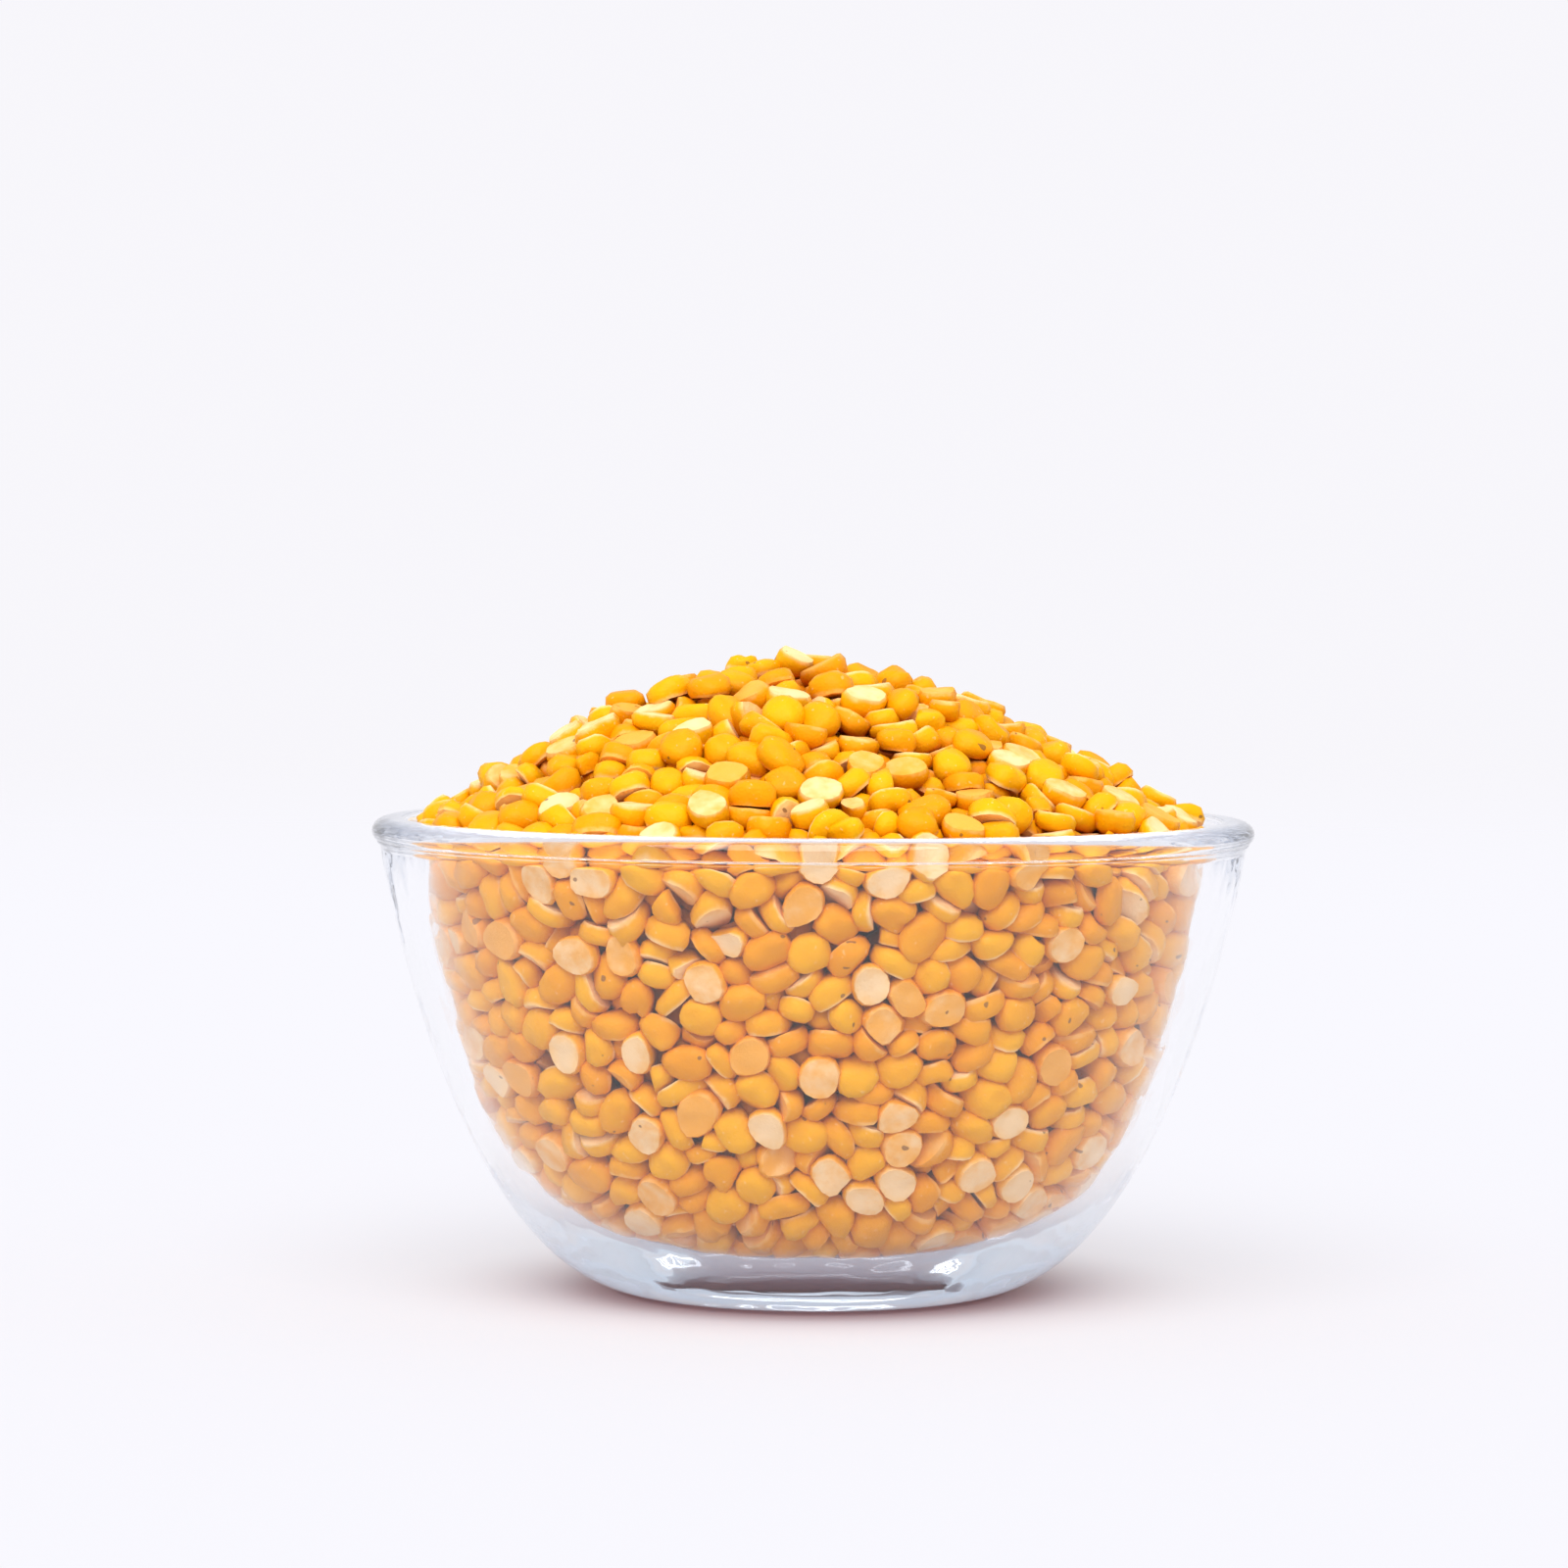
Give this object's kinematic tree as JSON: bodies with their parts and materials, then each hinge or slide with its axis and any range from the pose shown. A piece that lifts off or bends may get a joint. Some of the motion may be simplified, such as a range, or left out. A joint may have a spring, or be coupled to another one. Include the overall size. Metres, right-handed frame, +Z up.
{
  "type": "bowl of split chickpeas",
  "caption": "Clear pressed glass bowl with a rounded rim, heaped above the rim with dry split chickpeas.",
  "frame": {"origin": "on the ground under the middle of the bowl", "axes": "+Z up through the bowl's middle; the picture looks along +Y with +X to the right"},
  "size_m": [0.1304, 0.1304, 0.0954],
  "materials": {
    "clear_glass": "polished, clear",
    "split_chickpea": "dry, slightly waxy"
  },
  "bodies": {
    "root": {"bowl": "clear_glass", "chickpea_heap": "split_chickpea"}
  },
  "joints": []
}
